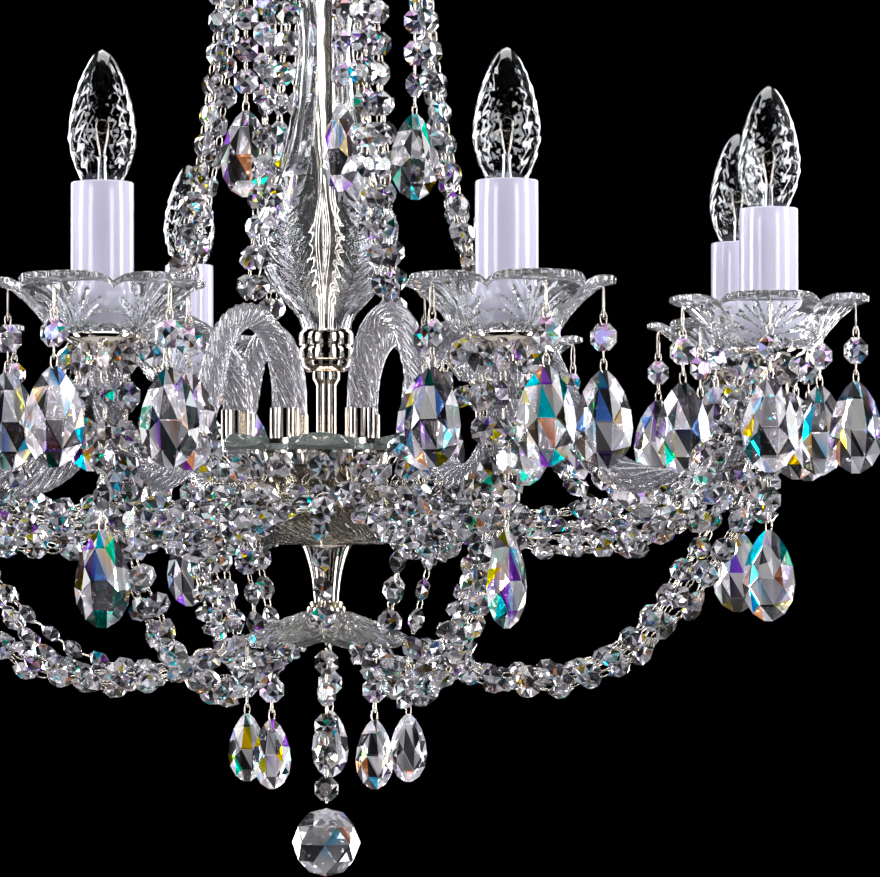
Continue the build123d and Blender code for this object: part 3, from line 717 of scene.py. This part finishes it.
def unit(vector):
    """A vector of length one."""
    return vector / np.linalg.norm(vector)


def square_to(along, across):
    """The direction nearest to across that is square to along."""
    return unit(across - along * np.dot(across, along))


def turned_by(along, across, twist):
    """The x axis turned by a twist about the z axis."""
    return np.cos(twist) * across + np.sin(twist) * np.cross(along, across)


HUES = [0.03, 0.09, 0.15, 0.42, 0.52, 0.58, 0.64, 0.71]  # hues of the painted spectral fire, from red through yellow, green and blue to violet
SHADES, CHANCES = [0.03, 0.5, 0.9, 1], [0.37, 0.08, 0.15, 0.4]  # facets' painted brightness, from painted shade (dark) through grey to painted highlights (white), and how often each comes up
# white of the facets without painted fire, before their painted brightness
COOL_WHITE = np.array([0.96, 0.93, 1])


def painted_facet_colours(rng, count, share):
    """Painted light of triangular facets, corner by corner: painted highlights (white), grey, painted shade (dark) and
    a share of painted spectral fire.
    """
    # painted fire: a spectral hue for some facets, on most corners of each
    hue = rng.choice(HUES, (count, 1, 1)) + np.array([0, 2 / 3, 1 / 3])
    spectral = np.clip(0.5 + 0.65 * np.cos(TAU * hue), 0, 1)
    flashes = (rng.random((count, 1, 1)) < share * 1.3) & (rng.random((count, 3, 1)) < 0.75)
    painted_brightness = rng.choice(SHADES, (count, 1, 1), p=CHANCES)
    # painted shading: each corner's painted brightness varies at random, standing in for light refracted inside the
    # facet
    painted_shading = np.where(flashes, spectral, COOL_WHITE) * painted_brightness * rng.uniform(0.35, 1.3, (count, 3, 1)).clip(0, 1)
    return np.dstack([painted_shading, np.ones((count, 3))]).reshape(-1, 4)


class Stringer:
    """Gathers the crystals and wires of one group before they become pieces."""

    def __init__(self, settings, rng, loose=0):
        self.settings, self.rng, self.loose = settings, rng, loose * MM
        self.stones, self.pears, self.small_pears, self.loops, self.hooks = [], [], [], [], []

    def strand(self, start, control, end, face=None, spread=0.6, rows=((0, 0),)):
        """Strings of octagons along the parabola of three points.

        Each row (sideways, down) is a string of its own, whose middle lies that many millimetres away.
        """
        start, control, end = (np.array(p, dtype=float) for p in (start, control, end))
        across = unit(np.cross(end - start, [0, 0, 1])) if face is None else np.array(face, dtype=float)
        for sideways, down in rows:
            shift = across * sideways * MM
            lowered = control + 1.5 * shift - np.array([0, 0, 2 * down * MM])
            self.string(start + shift / 2, lowered, end + shift / 2, across, spread)

    def string(self, start, control, end, across, spread):
        """One string: octagons at the pitch, each turned a little, with a wire loop between."""
        t = np.linspace(0, 1, 300)[:, None]
        route = (1 - t) ** 2 * start + 2 * t * (1 - t) * control + t**2 * end
        run = run_of(route)
        count = max(2, int(round(run[-1] / self.settings.pitch)))
        at = (np.arange(count) + 0.5) / count * run[-1]
        spots = points_at(at, run, route)
        spots += self.rng.uniform(-self.loose, self.loose, spots.shape)
        slopes = np.gradient(route, axis=0)
        for n, spot in enumerate(spots):
            along = unit(slopes[np.searchsorted(run, at[n])])
            turn = self.rng.normal(0, spread)
            self.stones.append((spot, along, turned_by(along, square_to(along, across), turn)))
            if n:
                self.tie(spots[n - 1], spot, across, turn + self.rng.normal(1.2, 0.5))
        for n in (0, -1):
            self.tie(route[n], spots[n], across, 1.2)

    def tie(self, start, end, across, turn):
        """A wire loop half way between two points."""
        along = unit(end - start)
        self.loops.append(((end + start) / 2, along, turned_by(along, square_to(along, across), turn)))

    def pendant(self, top, hook, octagons, small=False):
        """A hook of some millimetres, octagons and a pear hung straight down from a point, facing -Y."""
        hook, step = hook * MM, self.settings.pitch + 0.3 * MM
        up = np.array([0, 0, 1])
        side = turned_by(up, np.array([1, 0, 0]), self.rng.normal(0, 0.25))

        def hung(fall, turn):
            return top - fall * up, up, turned_by(up, side, turn)

        self.hook_half = min(8 * MM, hook / 2)
        self.hooks.append(hung(hook / 2, 1.3))
        for n in range(octagons):
            self.stones.append(hung(hook + step * (n + 0.5), self.rng.normal(0, 0.35)))
            self.loops.append(hung(hook + step * (n + 1), 1.4))
        foot = hook + step * octagons + 5.2 * MM
        self.loops += [hung(hook, 0.2), hung(foot, 0.3)]
        (self.small_pears if small else self.pears).append(hung(foot + 2.2 * MM, 0))

    def make(self, label, node, body="frame", film="octagon"):
        """The group's crystals and wires as pieces that ride on a body; the first stands for the CAD node."""
        s, nodes = self.settings, (node,)
        kinds = (
            ("octagons", self.stones, octagon_stone(s.octagon, s.depth), film, s.painted_fire),
            ("pears", self.pears, pear_stone(30 * MM, 50 * MM, 12 * MM), "pear", s.painted_fire * 2),
            ("drops", self.small_pears, pear_stone(22 * MM, 40 * MM, 11 * MM), "pear", s.painted_fire),
        )
        for kind, places, stone, finish, share in kinds:
            if places:
                points, faces = set_along(stone, places)
                # painted fire, highlights and shade for each facet
                painted_fire = painted_facet_colours(self.rng, len(faces), share)
                put(f"{label}_{kind}", (points, faces), finish, "crystal", *nodes, body=body, painted_fire=painted_fire)
                nodes = ()
        gap = (s.pitch - s.octagon) / 2 + 1.7 * MM
        wires = [set_along(wire_loop(gap, 1.7 * MM, s.wire), self.loops)]
        if self.hooks:
            wires.append(set_along(wire_loop(self.hook_half, 1.9 * MM, s.wire), self.hooks))
        put(f"{label}_wires", joined(wires), "wire", "nickel", body=body)


# ---- candles and turned metal
def bulb_shell(bottom):
    """A candle bulb: a thin wall turned round its profile, dimpled by fifteen twisted columns crossed with rings."""
    tip = bottom + 99.5
    outer = curved([
        (9.5, -74.5), (10.6, -68), (14.6, -59), (17.2, -49), (17.5, -43), (16.3, -33), (13.3, -21), (8.8, -10),
        (4.2, -3), (0, 0),
    ], 1, tip)
    inner = outer[::-1] * (0.98, 1) + (0, -0.3)

    def shape(r, z, angle):
        drop = tip - z
        dimple = (np.cos(angle * 15 + drop * 0.7) + np.cos(angle * 3 - drop * 0.9)) / 2
        body = ramp(z - bottom, 27, 8) * ramp(drop, 6, 8)
        return r * (1 - 0.02 * body * (1 - dimple)), z

    return turned(np.vstack([outer, inner]), 160, shape)


def bulb_stem(bottom):
    """The glass mount inside a bulb."""
    outline = np.array([(0, 0), (6.5, 0), (4.2, 3), (2.4, 8), (2, 17), (2.8, 19.5), (0, 20.5)]) + (0, bottom + 25)
    return turned(even(outline, 2), 20, closed=False)


def bulb_wires(bottom):
    """Two lead wires and the filament: thin loops standing on the mount."""
    base, lean, rise = (bottom + 44) * MM, 0.16, 0.987  # the leads lean outwards by nine degrees
    places = [((s * 2 * MM, 0, base + 7 * MM), (s * lean, 0, rise), (rise, 0, -s * lean)) for s in (-1, 1)]
    leads = set_along(wire_loop(9 * MM, 0.25 * MM, 0.22 * MM), places)
    bow = set_along(wire_loop(3.4 * MM, 3.2 * MM, 0.18 * MM, 16), [((0, 0, base + 16 * MM), (0, 0, 1), (1, 0, 0))])
    return joined([leads, bow])


def bulb_cap(bottom):
    """The screw cap: a closed turned outline whose thread is a wave along z - pitch * angle / turn."""
    outline = np.array([
        (0, 0), (2.2, 0), (2.4, 1.2), (5, 3), (6.2, 4), (6.3, 19), (6.6, 21), (6.7, 24.6), (0, 24.6),
    ]) + (0, bottom)
    pitch, depth = 2.8, 0.32

    def shape(r, z, angle):
        rise = z - bottom
        wall = (r > 6.1) * ramp(rise, 4, 1) * ramp(20 - rise, 0, 1)
        return r + wall * depth * np.cos(TAU * rise / pitch - angle), z

    return turned(even(outline, 0.45), 32, shape, closed=False)


def on_candles(shape):
    """One shape round Z copied to the eight candles."""
    points, faces = shape
    return joined([(points.reshape(-1, 3) + centre, faces) for centre in candles])


def sleeve():
    """A candle sleeve: a closed wall with softly rounded ends."""
    low, top = low_z("candle_sleeves"), high_z("candle_sleeves")
    foot = np.array([(14, 0), (15.6, 0), (16, 0.4), (16, 20)]) + (0, low)
    lip = np.array([
        (16, -20), (16, -0.8), (15.7, -0.25), (15.2, 0), (14.7, 0), (14.2, -0.25), (14, -0.8), (14, -20),
    ]) + (0, top)
    return turned(np.vstack([foot, lip, [(14, low + 20)]]), 96)


def seat_outline():
    """The cup under the vase: a foot, a bowl, and two bands parted by grooves."""
    low = low_z("vase_seat")
    bands = np.array([
        (15.3, 7.2), (15.9, 7.8), (16, 8.4), (16, 13.4), (15.8, 14), (14.4, 14.4), (14.4, 15.6), (15.8, 16),
        (16, 16.6), (16, 22.6), (15.6, 23.4), (14.6, 24.9), (4.4, 24.9), (4.4, 0),
    ]) + (0, low)
    return np.vstack([curved([(8.5, 0), (11.2, 0.4), (13.8, 3), (15, 6.4)], 0.8, low), bands])


def trumpet_outline():
    """The spacer under the bowl: a flared mouth, a waist and a beaded foot."""
    top, low = high_z("trumpet"), low_z("trumpet")
    flare = curved([(15, -0.3), (14.2, -1.6), (11.6, -8), (9.2, -17), (7.8, -27), (7.3, -32)], 1.2, top)
    beads = np.array([
        (7.3, -33), (9.6, -33.6), (10.2, -34.6), (9.6, -35.6), (9, -35.9), (11.2, -36.4), (11.5, -37.4),
    ]) + (0, top)
    return np.vstack([flare, beads, [(11.5, low + 0.4), (11, low), (4.4, low), (4.4, top), (14.6, top)]])


def cup_outline():
    """A candle cup: a socket over the arm's end, a bead, and a pan under the drip pan."""
    low = low_z("candle_cups")
    socket = np.array([
        (7.3, 0), (8.8, 0), (9.2, 0.6), (9.2, 2.2), (8.6, 2.8), (8.6, 4.4), (9.6, 5.2), (10.4, 6.6), (14.5, 10),
    ]) + (0, low)
    pan = np.array([
        (18.8, -3.2), (19.9, -1.7), (20, -0.5), (19.6, 0), (5, 0), (5, 3.4), (0.4, 3.4),
    ]) + (0, pan_z)
    return np.vstack([socket, pan, [(0.4, low + 8.1), (7.3, low + 8.1)]])


# ---- operators
class Build:
    """What the operators share: undo, and the scene's settings."""

    bl_options = {"REGISTER", "UNDO"}

    @property
    def glass(self):
        return bpy.context.scene.chandelier_glass

    @property
    def crystal(self):
        return bpy.context.scene.chandelier_crystal


class CHANDELIER_OT_finishes(Build, bpy.types.Operator):
    """Make the materials and give the CAD pieces that stay their finish"""

    bl_idname = "chandelier.finishes"
    bl_label = "Finishes"

    def execute(self, context):
        make_finishes(context.scene)
        kept = {
            "nickel": (
                "hanging_eye", "crown_cap", "vase_cap", "stem_collar", "stem", "centre_tube", "hub_plate",
                "arm_ferrules", "hub_cup", "bottom_nut",
            ),
            "holder": ("lamp_holders", "terminal_block"),
        }
        for finish, names in kept.items():
            for name in names:
                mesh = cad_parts[name].data
                mesh.materials.clear()
                mesh.materials.append(FINISHES[finish])
        return {"FINISHED"}


class CHANDELIER_OT_arms(Build, bpy.types.Operator):
    """Build the eight twisted glass arms"""

    bl_idname = "chandelier.arms"
    bl_label = "Glass arms"

    def execute(self, context):
        for n, azimuth in zip(ARMS, candle_azimuths):
            put(f"rope_arm_{n}", rope_arm(self.glass, azimuth), "arm", "arm_glass", f"arm_{n}", sharp=50)
        return {"FINISHED"}


class CHANDELIER_OT_dishes(Build, bpy.types.Operator):
    """Build the drip pans and the crown, hub and lower dishes"""

    bl_idname = "chandelier.dishes"
    bl_label = "Glass dishes"

    def execute(self, context):
        for n, azimuth in zip(ARMS, candle_azimuths):
            put(f"drip_pan_{n}", drip_pan(self.glass, azimuth), "dish", "dish_glass", f"bobeche_{n}", sharp=40)
        put("crown_pan", crown_pan(self.glass), "dish", "dish_glass", "crown_dish", sharp=40)
        put("lower_pan", lower_pan(self.glass), "dish", "dish_glass", "lower_dish", sharp=40)
        put("hub_pan", hub_pan(), "hub", "dish_glass", "hub_dish", sharp=40)
        return {"FINISHED"}


class CHANDELIER_OT_column(Build, bpy.types.Operator):
    """Build the column vase, the smoked bowl and the turned nickel pieces"""

    bl_idname = "chandelier.column"
    bl_label = "Column"

    def execute(self, context):
        put("leaf_vase", vase(), "vase", "dish_glass", "column_vase", sharp=45)
        put("ribbed_bowl", bowl(), "smoke", "dish_glass", "glass_bowl", sharp=45)
        put("banded_seat", turned(seat_outline(), 96), "nickel", "nickel", "vase_seat", sharp=35)
        put("flared_spacer", turned(trumpet_outline(), 96), "nickel", "nickel", "trumpet", sharp=35)
        return {"FINISHED"}


class CHANDELIER_OT_candles(Build, bpy.types.Operator):
    """Build the candle cups, sleeves and bulbs"""

    bl_idname = "chandelier.candles"
    bl_label = "Candles"

    def execute(self, context):
        put("beaded_cups", on_candles(turned(cup_outline(), 64)), "nickel", "nickel", "candle_cups", sharp=35)
        put("opal_sleeves", on_candles(sleeve()), "sleeve", "opal_sleeve", "candle_sleeves", sharp=60)
        bottom = low_z("bulb_1")
        parts = (
            ("shell", bulb_shell(bottom), "bulb", "bulb_glass", 60),
            ("mount", bulb_stem(bottom), "bulb", "bulb_glass", 180),
            ("filament", bulb_wires(bottom), "wire", "nickel", 180),
            ("cap", bulb_cap(bottom), "brass", "nickel", 60),
        )
        for n, centre in zip(ARMS, candles):
            for kind, (points, faces), finish, slot, sharp in parts:
                bulb, shape = f"bulb_{n}", (points.reshape(-1, 3) + centre, faces)
                nodes = [bulb] if kind == "shell" else []
                put(f"candle_{kind}_{n}", shape, finish, slot, *nodes, body=bulb, sharp=sharp)
        return {"FINISHED"}


def polar(radius, azimuth, height):
    """A point from millimetres and an azimuth in radians, in metres."""
    return round_z(radius, azimuth, height) * MM


def lower_edge(rim, azimuth, height):
    """A point on the lower dish, which falls outwards from a height 13 mm off the axis."""
    return polar(rim, azimuth, height - DISH_SLOPE * (rim - 13))


def rim_at(reach, azimuth, start):
    """Radius of a lobed dish's rim at an azimuth, in millimetres."""
    return reach * float(lobed(np.array([azimuth]), start)[0])


class CHANDELIER_OT_pendants(Build, bpy.types.Operator):
    """Hang the pear drops from the dishes and the candle cups"""

    bl_idname = "chandelier.pendants"
    bl_label = "Pendants"

    def execute(self, context):
        rng = np.random.default_rng(self.crystal.seed)
        lobes = np.arange(LOBES) * TAU / LOBES
        (radius, height), group = PAN_HOLES, Stringer(self.crystal, rng)
        for centre, azimuth in zip(candles, candle_azimuths):
            for lobe in lobes:
                group.pendant(centre + polar(radius, azimuth + lobe, pan_z + height), 16, 1)
        group.make("pan_drops", "bobeche_drops", film="fire_octagon")
        (radius, height), group = ELBOWS, Stringer(self.crystal, rng)
        for azimuth in candle_azimuths:
            group.pendant(polar(radius, azimuth, height), 9, 2)
        group.make("elbow_drops", "arm_drops")
        (radius, height), group = CROWN_HOLES, Stringer(self.crystal, rng)
        for lobe in lobes:
            group.pendant(polar(radius, CROWN_LOBE + lobe, height), 15, 7)
        group.make("crown_strings", "crown_drops", film="fire_octagon")
        radius, height = LOWER_HOLES
        for n, lobe in enumerate(lobes, start=1):
            group = Stringer(self.crystal, rng)
            group.pendant(polar(radius, LOWER_LOBE + lobe, height), 16, 1, small=True)
            group.make(f"rim_drop_{n}", f"lower_drop_{n}", f"lower_drop_{n}", film="fire_octagon")
        return {"FINISHED"}


class CHANDELIER_OT_garlands(Build, bpy.types.Operator):
    """String the octagons from the crown, between the candles, along the arms and to the lower dish"""

    bl_idname = "chandelier.garlands"
    bl_label = "Garlands"

    def execute(self, context):
        rng = np.random.default_rng(self.crystal.seed + 1)
        # each group's looseness: how far a stone lies off its string, mm
        top, ring, arm, swag, basket = (Stringer(self.crystal, rng, loose) for loose in (0.5, 1, 2.2, 1.8, 0.5))
        for azimuth in candle_azimuths:
            # from the crown dish's rim down past the vase to the arms' arches
            rim, after = rim_at(64, azimuth, CROWN_LOBE) - 3, azimuth + EIGHTH
            points = polar(rim, azimuth, -45), polar(64.8, azimuth, hub_z + 170), polar(100, azimuth, hub_z + 74.9)
            top.strand(*points, rows=((-5, 0), (5, 3)))
            # from the side of one cup to the side of the next, with a sag of 83 mm
            between = azimuth + EIGHTH / 2
            beside = polar(20.4, between + np.pi / 2, 0)
            start, end = polar(CUP_RING, azimuth, -340.2) + beside, polar(CUP_RING, after, -340.2) - beside
            low = (start + end) / 2 - polar(0, 0, 166)
            ring.strand(start, low, end, face=polar(1 / MM, between, 0), rows=((0, 0), (8, 6)))
            # under an arm, from its bend to the bowl
            points = polar(256.6, azimuth, -398.6), polar(210, azimuth, hub_z - 115), polar(57.2, azimuth, -425.5)
            arm.strand(*points, rows=((0, -8), (-6, -16), (5, -24), (-2, -33)))
            # from an arm's bend to the lower dish
            rim = rim_at(56, azimuth, LOWER_LOBE) + 0.4
            points = polar(264, azimuth, -407.1), polar(187.6, azimuth, hub_z - 205), lower_edge(rim, azimuth, -486.2)
            swag.strand(*points, rows=((0, -3), (7, -7), (-6, -12)))
            # six short strings round the arm's end, under each cup
            for n in range(6):
                way = azimuth + (n + 0.5) * TAU / 6
                head, foot = (
                    polar(reach, azimuth, height) + polar(out, way, 0)
                    for reach, height, out in ((CUP_RING, -342, 13), (266, -397, 10))
                )
                ring.strand(head, (head + foot) / 2 + polar(5, way, 0), foot, face=polar(1 / MM, way, 0))
        for azimuth in np.arange(8) * EIGHTH:
            # from the hub dish to the lower dish, with two short swags between this string and the next
            rim = rim_at(56, azimuth, LOWER_LOBE) - 3
            basket.strand(polar(65, azimuth, -391.9), polar(65, azimuth, -445), lower_edge(rim, azimuth, -483.9))
            between = polar(64, azimuth + EIGHTH / 2, -391.9)
            for side in (0, EIGHTH):
                foot = polar(66, azimuth + side, -393)
                basket.strand(between, (between + foot) / 2 * (1.12, 1.12, 1) - polar(0, 0, 46), foot)
        top.make("top_strings", "top_garlands")
        ring.make("ring_strings", "ring_garlands")
        arm.make("arm_strings", "arm_garlands")
        swag.make("swag_strings", "swag_garlands")
        basket.make("basket_strings", "basket_chains")
        chain = Stringer(self.crystal, rng)
        chain.strand(*(polar(0, 0, height) for height in (-505.2, -551.5, -597.6)), face=(1, 0, 0), spread=0.4)
        chain.make("ball_string", "ball_chain", "ball_chain")
        points, faces = ball_stone(20 * MM, 8, 5)
        # painted fire, highlights and shade for the ball's facets
        ball, painted_fire = (points + polar(0, 0, -619.6), faces), painted_facet_colours(rng, len(faces), 0.12)
        put("faceted_ball", ball, "octagon", "crystal", "crystal_ball", body="crystal_ball", painted_fire=painted_fire)
        return {"FINISHED"}


PICTURE = 880, 877  # width and height of the view, pixels
AIM, FLOOR = -0.33, -2300  # height of the chandelier's middle in metres, and of the floor in millimetres


class CHANDELIER_OT_stage(Build, bpy.types.Operator):
    """Make the camera, the lights and the floor"""

    bl_idname = "chandelier.stage"
    bl_label = "Stage"

    def execute(self, context):
        scene = context.scene
        s = scene.chandelier_stage
        camera = bpy.data.objects.new("Camera", bpy.data.cameras.new("Camera"))
        scene.collection.objects.link(camera)
        scene.camera = camera
        (wide, tall), sensor, view = PICTURE, 36, camera.data
        view.sensor_width, view.lens = sensor, s.focal * sensor / wide
        view.shift_x, view.shift_y = (wide / 2 - s.column) / wide, (s.row - tall / 2) / wide
        view.clip_start, view.clip_end = 0.05, 30
        a = np.radians(s.azimuth)
        camera.location = (s.distance * np.sin(a), -s.distance * np.cos(a), s.height)
        camera.rotation_euler = (np.pi / 2, 0, a)
        left_right, single = (("_left", -1), ("_right", 1)), (("", 1),)
        # each light's name, place, power, width and height; all face the chandelier's middle
        lights = (
            ("side", (1.5, -0.5, AIM), s.side, 0.35, 2.2, left_right),
            ("top", (0, 0, 0.9), s.top, 1.2, 1.2, single),
            ("rear", (0.95, 0.9, AIM + 0.1), s.rear, 0.3, 1.6, left_right),
            ("front", (1.25, -1.75, 0.1), s.front, 0.5, 1.3, left_right),
        )
        for name, (x, y, z), power, across, high, sides in lights:
            for side, way in sides:
                lamp = bpy.data.lights.new(name + side, "AREA")
                lamp.shape, lamp.size, lamp.size_y, lamp.energy = "RECTANGLE", across, high, power
                light = bpy.data.objects.new(name + side, lamp)
                light.location = x * way, y, z
                light.rotation_euler = Vector((x * way, y, z - AIM)).to_track_quat("Z", "Y").to_euler()
                scene.collection.objects.link(light)
        scene.view_settings.view_transform = "Standard"
        world = bpy.data.worlds.new("Studio")
        world.use_nodes = True
        world.node_tree.nodes["Background"].inputs["Color"].default_value = (0, 0, 0, 1)
        scene.world = world
        points, faces = turned([(0, FLOOR), (1600, FLOOR), (1620, FLOOR - 20), (0, FLOOR - 20)], 96, closed=False)
        mesh = bpy.data.meshes.new("floor")
        mesh.from_pydata(points.reshape(-1, 3).tolist(), [], faces.tolist())
        mesh.materials.append(FINISHES["floor"])
        floor = bpy.data.objects.new("floor", mesh)
        scene.collection.objects.link(floor)
        return {"FINISHED"}


class CHANDELIER_PT_panel(bpy.types.Panel):
    """Lists the chandelier's settings and operators"""

    bl_label = "Crystal Chandelier"
    bl_idname = "CHANDELIER_PT_panel"
    bl_space_type = "VIEW_3D"
    bl_region_type = "UI"
    bl_category = "Chandelier"

    def draw(self, context):
        for name, group in SETTINGS.items():
            box = self.layout.box()
            for field in group.__annotations__:
                box.prop(getattr(context.scene, name), field)
        for operator in OPERATORS:
            self.layout.operator(operator.bl_idname)


OPERATORS = Build.__subclasses__()  # in the order they are written


def register():
    for cls in (*SETTINGS.values(), *OPERATORS, CHANDELIER_PT_panel):
        bpy.utils.register_class(cls)
    for name, group in SETTINGS.items():
        setattr(bpy.types.Scene, name, PointerProperty(type=group))


def unregister():
    for name in SETTINGS:
        delattr(bpy.types.Scene, name)
    for cls in (CHANDELIER_PT_panel, *reversed(OPERATORS), *reversed(SETTINGS.values())):
        bpy.utils.unregister_class(cls)


def main():
    register()
    for operator in OPERATORS:
        family, action = operator.bl_idname.split(".")
        getattr(getattr(bpy.ops, family), action)()


if __name__ == "__main__":
    main()
